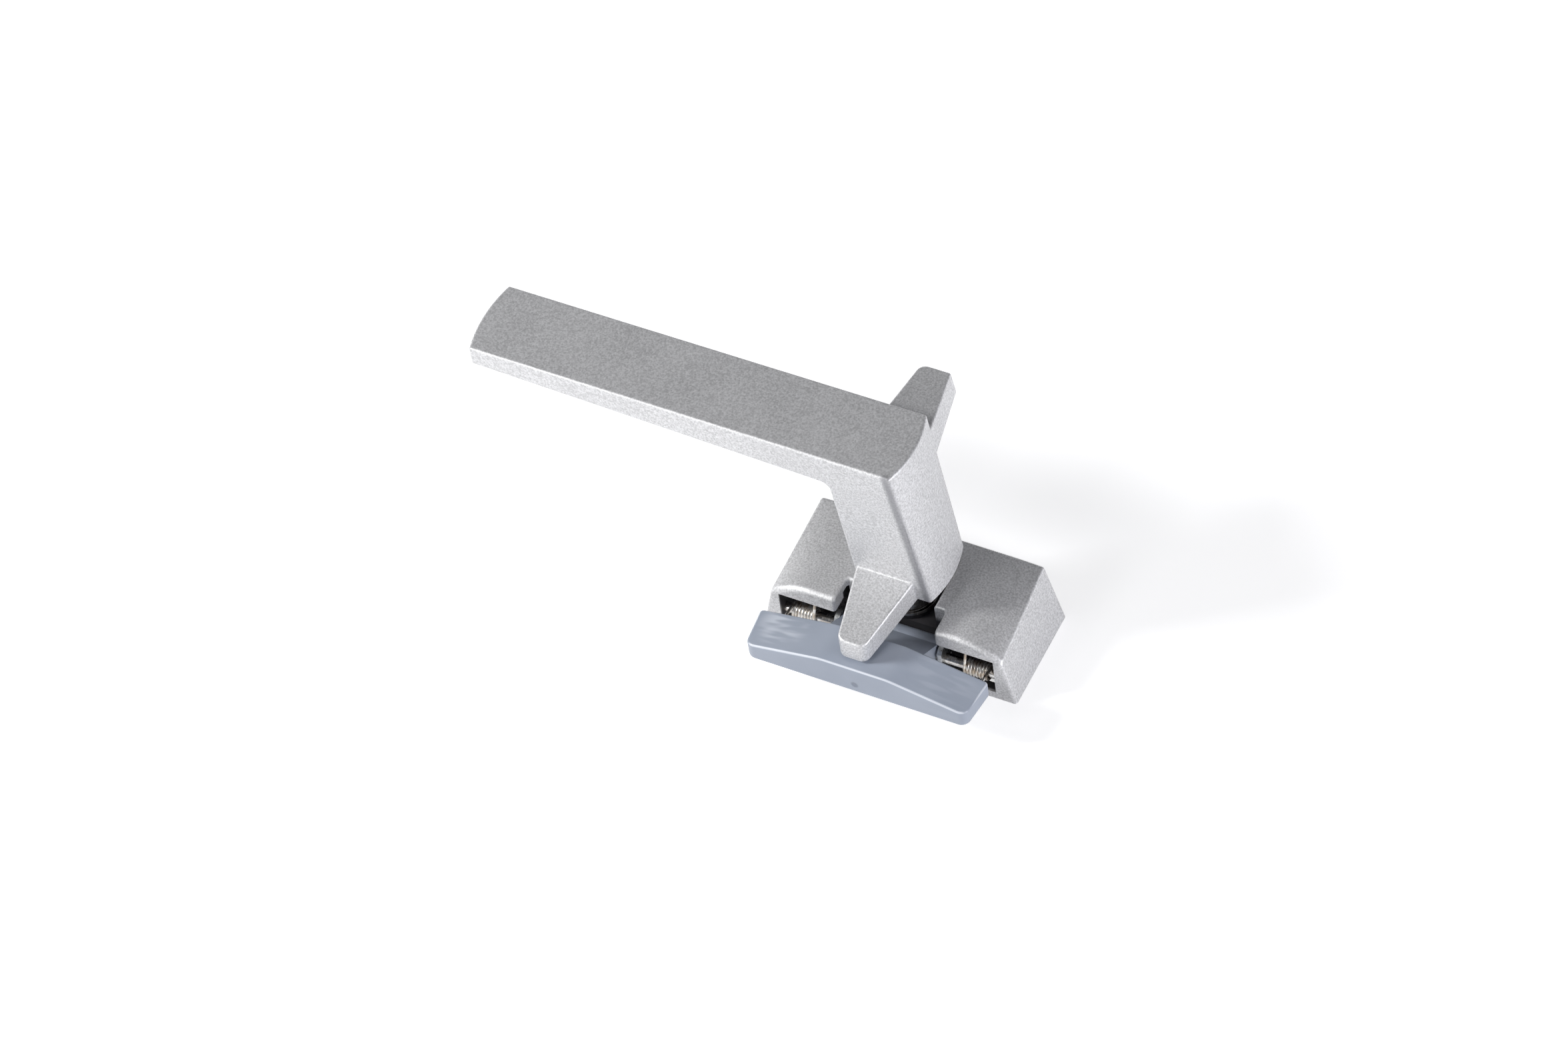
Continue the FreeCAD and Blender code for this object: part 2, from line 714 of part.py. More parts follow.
def make_ring(label, low, height, inner, outer):
    """Flat washer round the spindle."""
    body = new_body(label)
    plan = new_sketch(body, "XY_Plane", "ring_plan", low)
    draw_circle(plan, ZERO, ZERO, outer)
    draw_circle(plan, ZERO, ZERO, inner)
    add(body, "ring", plan, height)
    return body


def make_bush():
    """Flanged nylon bush pressed into the web."""
    body = make_ring("spindle_bush", web_low, web_top - web_low,
                     journal_radius + running_clearance, bush_radius)
    flange = new_sketch(body, "XY_Plane", "flange_plan", web_top)
    draw_circle(flange, ZERO, ZERO, flange_radius)
    draw_circle(flange, ZERO, ZERO, journal_radius + running_clearance)
    add(body, "flange", flange, flange_thickness)
    return body


def make_spring_washer():
    """Arched spring washer, which gives the lever its friction."""
    low = web_top + flange_thickness + washer_thickness + seat_clearance * 2
    body = make_ring("spring_washer", low, arch_height, journal_radius + arch_play,
                     collar_radius - seat_clearance)
    rise = arch_height - arch_thickness
    bow = (collar_radius * collar_radius + rise * rise) / (rise * 2)
    under = new_sketch(body, "YZ_Plane", "arch_underside")
    draw_outline(under, [
        (-collar_radius, low), (-collar_radius, low - OVERLAP), (collar_radius, low - OVERLAP),
        (collar_radius, low),
    ], {3: (bow, False)})
    cut(body, "hollow", under, FAR, middle=True)
    top = new_sketch(body, "YZ_Plane", "arch_top")
    shoulder = low + arch_thickness
    over = low + arch_height + OVERLAP
    draw_outline(top, [
        (-collar_radius, shoulder), (collar_radius, shoulder), (collar_radius, over),
        (-collar_radius, over),
    ], {0: (bow, True)})
    cut(body, "crown", top, FAR, middle=True)
    return body


def make_nut():
    """Thin hexagon nut that holds the spindle down."""
    body = new_body("spindle_nut")
    low = web_low - washer_play - washer_thickness - nut_height
    corner = nut_flats / math.sqrt(3)
    plan = new_sketch(body, "XY_Plane", "hexagon_plan", low)
    half = nut_flats / 2
    draw_outline(plan, [
        (corner, ZERO), (corner / 2, half), (-corner / 2, half),
        (-corner, ZERO), (-corner / 2, -half), (corner / 2, -half),
    ])
    draw_circle(plan, ZERO, ZERO, thread_radius + seat_clearance)
    add(body, "hexagon", plan, nut_height)
    return body


def make_hinge_pin():
    """Steel rod that the pad turns on, held in the casting's ends and the ears."""
    pin = doc.addObject("Part::Cylinder", "hinge_pin")
    pin.Label = "hinge_pin"
    bind(pin, "Radius", pin_radius)
    bind(pin, "Height", pin_half * 2)
    pin.Placement = Placement(Vector(0, 0, 0), Rotation(Y_AXIS, 90))
    bind(pin, "Placement.Base.x", -pin_half)
    bind(pin, "Placement.Base.y", -pin_forward)
    bind(pin, "Placement.Base.z", pin_height)
    return pin


def make_plate_screw(label, x, y):
    """Countersunk screw, flush with the plate."""
    head = doc.addObject("Part::Cone", f"{label}_head")
    bind(head, "Radius1", screw_head)
    bind(head, "Radius2", screw_radius)
    bind(head, "Height", plate_thickness)
    shank = doc.addObject("Part::Cylinder", f"{label}_shank")
    bind(shank, "Radius", screw_radius)
    bind(shank, "Height", screw_length)
    socket = doc.addObject("Part::Cylinder", f"{label}_socket")
    bind(socket, "Radius", screw_radius * socket_share)
    bind(socket, "Height", plate_thickness * socket_share)
    whole = doc.addObject("Part::Fuse", f"{label}_whole")
    whole.Base = head
    whole.Tool = shank
    screw = doc.addObject("Part::Cut", label)
    screw.Label = label
    screw.Base = whole
    screw.Tool = socket
    bind(screw, "Placement.Base.x", x)
    bind(screw, "Placement.Base.y", y)
    return screw


def tangent_point(target, radius, side):
    """Where a line from the target touches a circle round the pin, in the Y-Z plane."""
    reach = math.hypot(target[0], target[1])
    turn = math.atan2(target[1], target[0]) + side * math.acos(radius / reach)
    return turn, Vector(0, radius * math.cos(turn), radius * math.sin(turn))


def make_torsion_spring(label, sign):
    """Coil round the pin, one leg up to the roof and one forward under the pad."""
    wire = wire_radius.value
    radius = pin_radius.value + coil_play.value + wire
    centre = Vector(coil_start.value, -pin_forward.value, pin_height.value)
    roof = (upper_leg_back.value, slot_top.value - wire - seat_clearance.value - centre.z)
    under = (-lower_leg_reach.value, pad_low.value - wire - running_clearance.value - centre.z)
    begin, upper_root = tangent_point(roof, radius, 1)
    finish, lower_root = tangent_point(under, radius, -1)
    turns = coil_turns.value + (finish - begin) / (2 * math.pi)
    helix = Part.makeHelix(coil_pitch.value, coil_pitch.value * turns, radius)
    rim = []
    for side in range(wire_sides + 1):
        angle = 2 * math.pi * (side + 0.5) / wire_sides
        rim.append(Vector(radius + wire * math.cos(angle), 0, wire * math.sin(angle)))
    coil = Part.Wire(helix.Edges).makePipeShell([Part.makePolygon(rim)], True, True)
    turned = Rotation(X_AXIS, math.degrees(begin)) * Rotation(Vector(1, 1, 1), 120)
    coil = coil.transformed(Placement(centre, turned).toMatrix())
    legs = []
    far_end = Vector(coil_pitch.value * turns, 0, 0)
    for root, target, shift in ((upper_root, roof, Vector()), (lower_root, under, far_end)):
        start = centre + shift + root
        tip = centre + shift + Vector(0, target[0], target[1])
        legs.append(Part.makeCylinder(wire, (tip - start).Length, start, tip - start))
        legs.append(Part.makeSphere(wire * bend_swell, start))
    whole = coil.fuse(legs)
    if len(whole.Solids) != 1:
        raise RuntimeError(f"{label} isn't one piece of wire")
    if sign < 0:
        whole = whole.mirror(Vector(), X_AXIS)
    spring = doc.addObject("Part::Feature", label)
    spring.Label = label
    spring.Shape = whole.Solids[0]
    spring.Placement = Placement()
    return spring


def make_lever():
    """One casting: a flat arm on a leaning neck, with a spur to the front and one to the back."""
    body = new_body("lever_handle")
    sections = []
    for name, height, left, right in (
        ("foot", neck_low, neck_left_low, neck_right_low),
        ("top", arm_top, neck_left_top, neck_right_top),
    ):
        section = new_sketch(body, "XY_Plane", f"neck_{name}_plan", height)
        draw_outline(section, rectangle(-left, right, -arm_width / 2, arm_width / 2),
                     {1: (end_round, False)})
        sections.append(section)
    neck = body.newObject("PartDesign::AdditiveLoft", "neck")
    neck.Profile = sections[0]
    neck.Sections = [sections[1]]
    neck.Ruled = True
    doc.recompute()
    arm = new_sketch(body, "XY_Plane", "arm_plan", arm_root_under)
    draw_outline(arm, rectangle(-arm_tip, -neck_left_low, -arm_width / 2, arm_width / 2),
                 {3: (arm_tip_round, False)})
    add(body, "arm", arm, arm_top - arm_root_under)
    under = new_sketch(body, "XZ_Plane", "arm_underside_line")
    beyond = arm_tip + arm_width
    share = (arm_root_under - neck_low) / (arm_top - neck_low)
    elbow_left = neck_left_low + (neck_left_top - neck_left_low) * share
    slope = (arm_tip_under - arm_root_under) / (arm_tip - elbow_left)
    draw_outline(under, [
        (-beyond, neck_low), (-elbow_left, arm_root_under),
        (-beyond, arm_tip_under + (beyond - arm_tip) * slope),
    ])
    cut(body, "arm_underside", under, FAR, middle=True)
    draft = new_sketch(body, "YZ_Plane", "draft_lines")
    top_half = arm_width / 2
    for sign in (-1, 1):
        corners = [
            (sign * neck_low_half, neck_low), (sign * arm_width, neck_low),
            (sign * arm_width, arm_top), (sign * top_half, arm_top),
        ]
        draw_outline(draft, corners if sign > 0 else corners[::-1])
    cut(body, "draft", draft, FAR * 2, middle=True)
    round_edges(body, "elbow", elbow_round, elbow_edge)
    round_edges(body, "rim", lever_round, above_foot)
    front_root = (front_root_left, front_root_right, front_root_low, front_root_top)
    front_tip = (front_tip_left, front_tip_right, front_tip_low, front_tip_top)
    make_spur(body, "front", -1, neck_low_half, front_root, front_spur_reach, front_tip, ZERO)
    back_root = (back_root_left, back_root_right, back_root_low, back_root_top)
    back_tip = (back_tip_left, back_tip_right, back_tip_low, back_tip_top)
    make_spur(body, "back", 1, top_half, back_root, back_spur_reach, back_tip, back_spur_lean)
    round_edges(body, "spur_tips", spur_tip_round, spur_tip_corner)
    round_edges(body, "spur_rims", spur_round, spur_rim)
    hub = new_sketch(body, "XY_Plane", "hub_plan", hub_low)
    draw_circle(hub, ZERO, ZERO, hub_radius)
    add(body, "hub", hub, neck_low - hub_low + OVERLAP)
    half = square_side / 2 + running_clearance
    socket = new_sketch(body, "XY_Plane", "square_socket_plan", hub_low)
    draw_outline(socket, rectangle(-half, half, -half, half))
    cut(body, "square_socket", socket, square_top - hub_low + sliding_gap, reverse=True)
    grub = new_sketch(body, "XZ_Plane", "grub_hole_plan", -square_side / 2)
    draw_circle(grub, ZERO, grub_height, grub_radius + seat_clearance)
    cut(body, "grub_hole", grub, arm_width)
    return body


def make_spur(body, name, sign, root, root_sides, reach, tip_sides, lean):
    """Adds one tapering spur, pointing to the front (-1) or the back (1), its right side leaning."""
    sections = []
    left, right, low, top = root_sides
    inner_sides = (left - ROOT_DEPTH, right - ROOT_DEPTH, low + ROOT_DEPTH, top - ROOT_DEPTH)
    for place, distance, sides in (
        ("inside", root - ROOT_DEPTH * 2, inner_sides), ("root", root - spur_seat, root_sides),
        ("tip", reach, tip_sides),
    ):
        left, right, low, top = sides
        section = new_sketch(body, "XZ_Plane", f"{name}_spur_{place}", -sign * distance)
        draw_outline(section, [(-left, low), (right + lean, low), (right, top), (-left, top)])
        sections.append(section)
    spur = body.newObject("PartDesign::AdditiveLoft", f"{name}_spur")
    spur.Profile = sections[0]
    spur.Sections = sections[1:]
    spur.Ruled = True
    doc.recompute()


def elbow_edge(edge):
    """True for the inner edge where the arm's underside meets the neck."""
    box = edge.BoundBox
    across = box.XLength < SAME and box.ZLength < SAME
    return across and abs(box.ZMin - arm_root_under.value) < SAME


def above_foot(edge):
    """True for every edge but those round the neck's foot."""
    return edge.BoundBox.ZMax > neck_low.value + OVERLAP.value


def spur_tip_corner(edge):
    """True for the upright corner edges at the ends of the two spurs."""
    box = edge.BoundBox
    at_tip = min(abs(box.YMin + front_spur_reach.value), abs(box.YMin - back_spur_reach.value))
    return at_tip < SAME and is_upright(edge)


def spur_rim(edge):
    """True for the rims of the two spurs, and for the front one's root below the neck."""
    box = edge.BoundBox
    if max(-box.YMin, box.YMax) > arm_width.value:
        return True
    root = -neck_low_half.value
    slack = OVERLAP.value / 2
    if box.YMax > root + running_clearance.value or box.YMin < root - slack:
        return False
    across = box.XLength > spur_tip_round.value * 3 and box.ZMin > neck_low.value + slack * 2
    upright = box.XMin > neck_right_top.value and box.ZMax > neck_low.value + slack * 4
    return across or upright and box.ZMax < front_root_top.value + slack


def make_grub_screw():
    """Set screw that holds the lever on the spindle's square, from the back."""
    screw = doc.addObject("Part::Cylinder", "grub_screw_blank")
    bind(screw, "Radius", grub_radius)
    bind(screw, "Height", grub_length)
    socket = doc.addObject("Part::Prism", "grub_screw_socket")
    socket.Polygon = 6
    bind(socket, "Circumradius", grub_radius * socket_share)
    bind(socket, "Height", grub_length)
    bind(socket, "Placement.Base.z", grub_length / 2)
    whole = doc.addObject("Part::Cut", "grub_screw")
    whole.Label = "grub_screw"
    whole.Base = screw
    whole.Tool = socket
    whole.Placement = Placement(Vector(), Rotation(X_AXIS, -90))
    bind(whole, "Placement.Base.y", square_side / 2 + seat_clearance)
    bind(whole, "Placement.Base.z", grub_height)
    return whole


def make_pieces():
    """Makes every piece and returns them in the order of assembly."""
    bush_top = web_top + flange_thickness
    nut_washer_low = web_low - washer_play - washer_thickness
    pieces = [
        make_housing(),
        make_base_plate(),
        make_hinge_pin(),
        make_torsion_spring("torsion_spring_left", -1),
        make_torsion_spring("torsion_spring_right", 1),
        make_clamp_pad(),
        make_bush(),
        make_ring("thrust_washer", bush_top, washer_thickness,
                  journal_radius + running_clearance * 2, flange_radius),
        make_spring_washer(),
        make_spindle(),
        make_ring("spindle_washer", nut_washer_low, washer_thickness,
                  thread_radius + running_clearance, lower_washer_radius),
        make_nut(),
        make_lever(),
        make_grub_screw(),
    ]
    for name, x, y, radius in boss_places():
        if name.startswith("screw"):
            pieces.append(make_plate_screw(f"plate_{name}", x, y))
    return pieces


def check_and_export(pieces):
    """Refuses a failed feature or a broken solid, then writes each piece to its own file."""
    doc.recompute()
    for thing in doc.Objects:
        if "Invalid" in thing.State or "Error" in thing.State:
            raise RuntimeError(f"{thing.Name} failed: {thing.State}")
    os.makedirs("parts", exist_ok=True)
    for piece in pieces:
        shape = piece.Shape
        if shape.isNull() or not shape.isValid() or not shape.Solids:
            raise RuntimeError(f"{piece.Label} has no valid solid")
        shape.exportStep(f"parts/{piece.Label}.step")
        box = shape.BoundBox
        print(f"{piece.Label}: {len(shape.Solids)} solid, {shape.Volume:.1f} mm3, "
              f"x {box.XMin:.2f} {box.XMax:.2f}, y {box.YMin:.2f} {box.YMax:.2f}, "
              f"z {box.ZMin:.2f} {box.ZMax:.2f}")


check_and_export(make_pieces())
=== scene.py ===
# %% [markdown]
# # A window fastener, dressed for its photograph
# The fastener is a cast lever on a hollow cast base, with a nylon pad that the lever's spur
# closes over. Its shapes come from a CAD model. This file adds what CAD leaves out, one step at
# a time: black nylon, steel, the silver coat, grey nylon, two springs of round wire, and the
# light to see them by.

# %% [markdown]
# ## Start from the CAD model
# On the real fastener every piece is a thing of its own, held by pins and screws, and the CAD
# model has one object for each. They could be modelled again here, but then they would drift
# away from the CAD model. So they are loaded, and their shapes are left as they are.

import json
import math

import bmesh
import bpy
from mathutils import Matrix, Vector


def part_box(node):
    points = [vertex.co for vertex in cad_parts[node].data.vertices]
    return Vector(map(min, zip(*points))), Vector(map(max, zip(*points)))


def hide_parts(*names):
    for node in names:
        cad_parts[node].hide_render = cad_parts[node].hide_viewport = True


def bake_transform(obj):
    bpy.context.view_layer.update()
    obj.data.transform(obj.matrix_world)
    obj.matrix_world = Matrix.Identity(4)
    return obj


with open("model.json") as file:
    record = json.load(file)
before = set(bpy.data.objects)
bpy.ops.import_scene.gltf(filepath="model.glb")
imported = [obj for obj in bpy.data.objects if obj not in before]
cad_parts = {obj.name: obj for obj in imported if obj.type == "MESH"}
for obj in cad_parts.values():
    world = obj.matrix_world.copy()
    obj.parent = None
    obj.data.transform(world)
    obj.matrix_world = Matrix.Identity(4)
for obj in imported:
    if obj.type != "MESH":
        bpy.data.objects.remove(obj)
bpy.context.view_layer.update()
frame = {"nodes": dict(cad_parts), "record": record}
nodes = frame["nodes"]
scene = bpy.context.scene


def in_mm(lengths):
    """Lengths in metres as rounded millimetres, for printing."""
    return [round(length * 1000, 2) for length in lengths]


# %% [markdown]
# ## Where the camera stands
# The photograph looks down on the fastener from its front right, with the camera tilted a
# little. A camera could be dragged into that place by eye, but it would never land there twice.
# Here two angles say where it stands and a third how far it is tilted: away, right and up are
# built from the first two, and then right and up are turned by the tilt.

# %% Where the camera stands
AZIMUTH = math.radians(32.79)
ELEVATION = math.radians(51.73)
ROLL = math.radians(-9.18)
DISTANCE = 1.5025
TARGET = Vector((-0.015, 0.0, 0.025))

away = Vector((
    math.sin(AZIMUTH) * math.cos(ELEVATION),
    -math.cos(AZIMUTH) * math.cos(ELEVATION),
    math.sin(ELEVATION),
))
level_right = Vector((math.cos(AZIMUTH), math.sin(AZIMUTH), 0.0))
level_up = away.cross(level_right)
right = math.cos(ROLL) * level_right + math.sin(ROLL) * level_up
up = math.cos(ROLL) * level_up - math.sin(ROLL) * level_right
camera_turn = Matrix((right, up, away)).transposed().to_4x4()
camera_place = TARGET + away * DISTANCE
print("camera at", in_mm(camera_place), "mm")

# %% [markdown]
# ## The lens
# Upright edges of the fastener hardly draw together in the photograph, so it was taken through
# a long lens from well away. Moving a short lens closer would fill the frame as well, but would
# swell the near shoulder. The fastener isn't quite in the middle of the picture: a small shift
# slides the picture sideways, where turning the camera would change the angle too.

# %% Lens and frame
LENS_MM = 147.56
SENSOR_MM = 36.0
SHIFT_X = -0.0403
SHIFT_Y = 0.0087
NEAREST_SEEN = 0.05

lens = bpy.data.cameras.new("camera")
lens.lens = LENS_MM
lens.sensor_width = SENSOR_MM
lens.shift_x = SHIFT_X
lens.shift_y = SHIFT_Y
lens.clip_start = NEAREST_SEEN
camera = bpy.data.objects.new("camera", lens)
camera.matrix_world = Matrix.Translation(camera_place) @ camera_turn
scene.collection.objects.link(camera)
scene.camera = camera
print("lens", LENS_MM, "mm, seeing", round(math.degrees(lens.angle), 1), "degrees across")

# %% [markdown]
# ## An empty finish
# A finish on a real piece is a colour, a gloss and a grain. In Blender they could be painted
# pictures, but those need unwrapping and show seams. Here they are patterns, worked out from a
# point's Object coordinates. Those stay on the piece when it moves, and their unit is the
# metre, so a grain of half a millimetre is a noise of scale 2000. Every finish starts the same
# way, with one shader in an empty node tree, and the plainest of them, the black nylon of the
# bush under the lever, is made first.

# %% An empty finish
class Finish:
    """A material under construction: an empty node tree with one shader."""

    def __init__(self, name):
        self.material = bpy.data.materials.new(name)
        self.material.use_nodes = True
        self.tree = self.material.node_tree
        self.tree.nodes.clear()
        self.shader = self.add("ShaderNodeBsdfPrincipled")
        output = self.add("ShaderNodeOutputMaterial")
        self.join(self.shader.outputs["BSDF"], output.inputs["Surface"])
        self.place = self.add("ShaderNodeTexCoord").outputs["Object"]

    def add(self, kind, **settings):
        """Adds a node and sets its properties."""
        node = self.tree.nodes.new(kind)
        for key, value in settings.items():
            setattr(node, key, value)
        return node

    def join(self, source, target):
        """Links an output to an input."""
        self.tree.links.new(source, target)

    def set(self, **values):
        """Sets plain numbers and colours on the shader's own sockets, with _ for a space."""
        for key, value in values.items():
            self.shader.inputs[key.replace("_", " ")].default_value = value

    def send(self, socket, pattern):
        """Lets a pattern drive one of the shader's sockets."""
        self.join(pattern, self.shader.inputs[socket])


black_nylon = Finish("black_nylon_moulded")
black_nylon.set(Metallic=0.0)
print(black_nylon.material.name, "starts with", len(black_nylon.tree.nodes), "nodes")

# %% [markdown]
# ## Skin of the black nylon
# Moulded nylon copies the fine, dull skin of its steel mould. The mesh could be roughened for
# real, but that takes millions of faces. A bump leaves the mesh alone and only tilts the light,
# which is enough for a hundredth of a millimetre, and its depth is given in metres.

# %% Skin of the black nylon
SKIN_SCALE = 1200.0
SKIN_DEPTH = 0.00001


def noise(finish, scale, detail=2.0, roughness=0.5, vector=None):
    """A cloud pattern from 0 to 1."""
    cloud = finish.add("ShaderNodeTexNoise")
    cloud.inputs["Scale"].default_value = scale
    cloud.inputs["Detail"].default_value = detail
    cloud.inputs["Roughness"].default_value = roughness
    finish.join(vector or finish.place, cloud.inputs["Vector"])
    return cloud.outputs["Fac"]


def relief(finish, height, depth):
    """Bumps as deep, in metres, as the pattern is high."""
    bump = finish.add("ShaderNodeBump")
    bump.inputs["Strength"].default_value = 1.0
    bump.inputs["Distance"].default_value = depth
    finish.join(height, bump.inputs["Height"])
    finish.send("Normal", bump.outputs["Normal"])


skin = noise(black_nylon, SKIN_SCALE, detail=3.0)
relief(black_nylon, skin, SKIN_DEPTH)
print("skin of grains of", round(1000 / SKIN_SCALE, 2), "mm")

# %% [markdown]
# ## Colour and gloss of the black nylon
# Only the rim of the bush's flange can be seen past the hub. One flat black would do for its
# size, but it would look cut out of paper. The skin's own pattern also drives the colour and
# the gloss, so light and dark, dull and shiny fall on the same grains, as they do on a real
# moulding. Most of a noise lies between 0.3 and 0.7, and that span is what gets stretched.

# %% Colour and gloss of the black nylon
NOISE_SPAN = (0.3, 0.7)
BUSH_DARK = (0.018, 0.018, 0.02)
BUSH_LIGHT = (0.035, 0.035, 0.038)
BUSH_ROUGHNESS = (0.42, 0.56)


def spread(finish, pattern, span, target=(0.0, 1.0)):
    """Stretches a span of a pattern softly over a target range, and holds the ends beyond."""
    ranger = finish.add("ShaderNodeMapRange", interpolation_type="SMOOTHSTEP")
    for key, number in zip(("From Min", "From Max", "To Min", "To Max"), (*span, *target)):
        ranger.inputs[key].default_value = number
    finish.join(pattern, ranger.inputs["Value"])
    return ranger.outputs["Result"]


def blend(finish, share, first, second):
    """A colour between two others, by a pattern."""
    mix = finish.add("ShaderNodeMix", data_type="RGBA", blend_type="MIX")
    finish.join(share, mix.inputs[0])
    for socket, colour in ((mix.inputs[6], first), (mix.inputs[7], second)):
        if isinstance(colour, tuple):
            socket.default_value = (*colour, 1.0)
        else:
            finish.join(colour, socket)
    return mix.outputs[2]


black_nylon.send("Base Color", blend(black_nylon, skin, BUSH_DARK, BUSH_LIGHT))
black_nylon.send("Roughness", spread(black_nylon, skin, NOISE_SPAN, BUSH_ROUGHNESS))
finishes = {"black_nylon": black_nylon.material}
print("black nylon:", len(black_nylon.tree.nodes), "nodes")

# %% [markdown]
# ## Steel, in general
# Turned, rolled and drawn steel all show fine marks that run the way the tool or the die went,
# and a faint mottle in their colour. The marks could be a picture of scratches, but a noise
# that is stretched along one axis gives the same hair-thin lines at any size. The steels here
# differ only in colour, gloss and the way their marks run, so one function makes them all.

# %% A steel from its colours and marks
MOTTLE_SCALE = 700.0
MOTTLE_SPAN = (0.35, 0.7)
SMOOTHER_BY = 0.06
ROUGHER_BY = 0.08


def stretched(finish, scale, turn=(0.0, 0.0, 0.0), centre=(0.0, 0.0, 0.0)):
    """Object coordinates moved to a centre, turned, and stretched along each axis."""
    mapping = finish.add("ShaderNodeMapping", vector_type="TEXTURE")
    mapping.inputs["Location"].default_value = centre
    mapping.inputs["Rotation"].default_value = turn
    mapping.inputs["Scale"].default_value = [1.0 / value for value in scale]
    finish.join(finish.place, mapping.inputs["Vector"])
    return mapping.outputs["Vector"]


def steel(name, dark, light, roughness, marks, depth):
    """Metal with a mottled colour and fine marks, as many a metre on each axis as given."""
    metal = Finish(name)
    metal.set(Metallic=1.0)
    mottle = noise(metal, MOTTLE_SCALE, detail=4.0)
    metal.send("Base Color", blend(metal, spread(metal, mottle, MOTTLE_SPAN), light, dark))
    lines = noise(metal, 1.0, detail=3.0, roughness=0.6, vector=stretched(metal, marks))
    uneven = (roughness - SMOOTHER_BY, roughness + ROUGHER_BY)
    metal.send("Roughness", spread(metal, lines, NOISE_SPAN, uneven))
    relief(metal, lines, depth)
    print(name, "has", len(metal.tree.nodes), "nodes")
    return metal.material


# %% [markdown]
# ## The four steels of the fastener
# The pin, the spindle, the washers, the nut and the plate's screws are bright steel with a
# little brown bloom in its hollows. From above only the pin shows, so the marks run round the
# pin's axis. The base plate is sheet with a zinc plating, greyer and without a direction. The
# springs are drawn wire, smooth along its length and brown between the bright spots, and the
# set screw is blackened. Plain colours would tell them apart from afar, but close up it is the
# marks that say how each one was made.

# %% Four steels
ALONG_X = (400.0, 6000.0, 6000.0)
ROUND_X = (6000.0, 400.0, 400.0)
ALL_WAYS = (1600.0, 1600.0, 1600.0)

finishes["bright_steel"] = steel(
    "bright_steel_turned", dark=(0.42, 0.37, 0.32), light=(0.74, 0.73, 0.71),
    roughness=0.20, marks=ROUND_X, depth=0.000004)
finishes["plated_sheet"] = steel(
    "plated_sheet_zinc", dark=(0.50, 0.51, 0.50), light=(0.70, 0.71, 0.71),
    roughness=0.32, marks=ALL_WAYS, depth=0.000004)
finishes["spring_wire"] = steel(
    "spring_wire_drawn", dark=(0.50, 0.42, 0.33), light=(0.88, 0.86, 0.82),
    roughness=0.36, marks=ALONG_X, depth=0.000001)
finishes["black_steel"] = steel(
    "black_steel_oxide", dark=(0.03, 0.03, 0.03), light=(0.075, 0.075, 0.078),
    roughness=0.42, marks=ALL_WAYS, depth=0.000006)

# %% [markdown]
# ## Silver coat: flake and cloud
# The housing and the lever are zinc castings under a silver lacquer. Its aluminium flakes lie at
# slightly different angles, so the surface is a fine grain of lighter and darker specks, not one
# grey. A mirror with a strong bump would sparkle too, but harshly, and the sparks would jump
# from view to view. A half metallic shader with a speckled colour and a very shallow bump of the
# same size is calmer, and a slow cloud keeps the large faces from looking printed.

# %% Flake and cloud
FLAKE_SCALE = 2100.0
FLAKE_DARK = (0.52, 0.52, 0.525)
FLAKE_LIGHT = (0.82, 0.82, 0.83)
FLAKE_DEPTH = 0.00003
CLOUD_SCALE = 90.0
CLOUD_GREY = (0.60, 0.60, 0.61)
CLOUD_SHARE = (0.0, 0.12)
COAT_ROUGHNESS = (0.44, 0.52)

# The coat also carries painted shade inside the housing and a painted dark reflection along the
# neck's edge, added below.
coat = Finish("silver_coat_with_painted_shade_and_reflection")
coat.set(Metallic=0.5)
flake = noise(coat, FLAKE_SCALE, detail=3.0, roughness=0.65)
cloud = noise(coat, CLOUD_SCALE, detail=3.0)
speckled = blend(coat, spread(coat, flake, NOISE_SPAN), FLAKE_DARK, FLAKE_LIGHT)
clouded = blend(coat, spread(coat, cloud, NOISE_SPAN, CLOUD_SHARE), speckled, CLOUD_GREY)
coat.send("Roughness", spread(coat, cloud, NOISE_SPAN, COAT_ROUGHNESS))
relief(coat, flake, FLAKE_DEPTH)
print("flakes of", round(1000 / FLAKE_SCALE, 2), "mm in clouds of",
      round(1000 / CLOUD_SCALE, 1), "mm")

# %% [markdown]
# ## Silver coat: painted dark reflection along the neck's edge
# Where two broad faces of the neck meet in front, their rounded edge mirrors dark shade and
# shows a soft dark line. A groove in the mesh would catch the light on two sharp edges of its
# own, so the dark reflection is painted into the colour instead. Coordinates that are turned
# until they run along the edge, and then squashed along it, leave nothing but the distance from
# the edge, and a narrow band of that distance is the painted line.

# %% Distance from the neck's edge
EDGE_TOP = Vector((0.0049, -0.0101, 0.0600))
EDGE_FOOT = Vector((0.0098, -0.0091, 0.0240))
EDGE_HALF = 0.0003
EDGE_FADE = 0.0014


def beside_line(finish, top, foot, half, soft):
    """1 along the line between two points, falling to 0 beside it and past its ends."""
    length = (top - foot).length
    turn = (top - foot).normalized().to_track_quat("Z", "Y").to_euler()
    squashed = stretched(finish, (1.0, 1.0, half / length), turn=turn, centre=(top + foot) / 2)
    gap = finish.add("ShaderNodeVectorMath", operation="LENGTH")
    finish.join(squashed, gap.inputs[0])
    return spread(finish, gap.outputs["Value"], (half, half + soft), (1.0, 0.0))


edge = beside_line(coat, EDGE_TOP, EDGE_FOOT, EDGE_HALF, EDGE_FADE)
print("line of", round((EDGE_TOP - EDGE_FOOT).length * 1000, 1), "mm along the neck's edge")

# %% Painted dark reflection along the edge
PAINTED_REFLECTION_DARKENING = 0.64
PAINTED_REFLECTION_GREY = (0.16, 0.16, 0.18)


def maths(finish, operation, first, second):
    """One sum, such as ADD or POWER, on two patterns or on a pattern and a number."""
    node = finish.add("ShaderNodeMath", operation=operation)
    for socket, value in zip(node.inputs, (first, second)):
        if isinstance(value, float):
            socket.default_value = value
        else:
            finish.join(value, socket)
    return node.outputs["Value"]


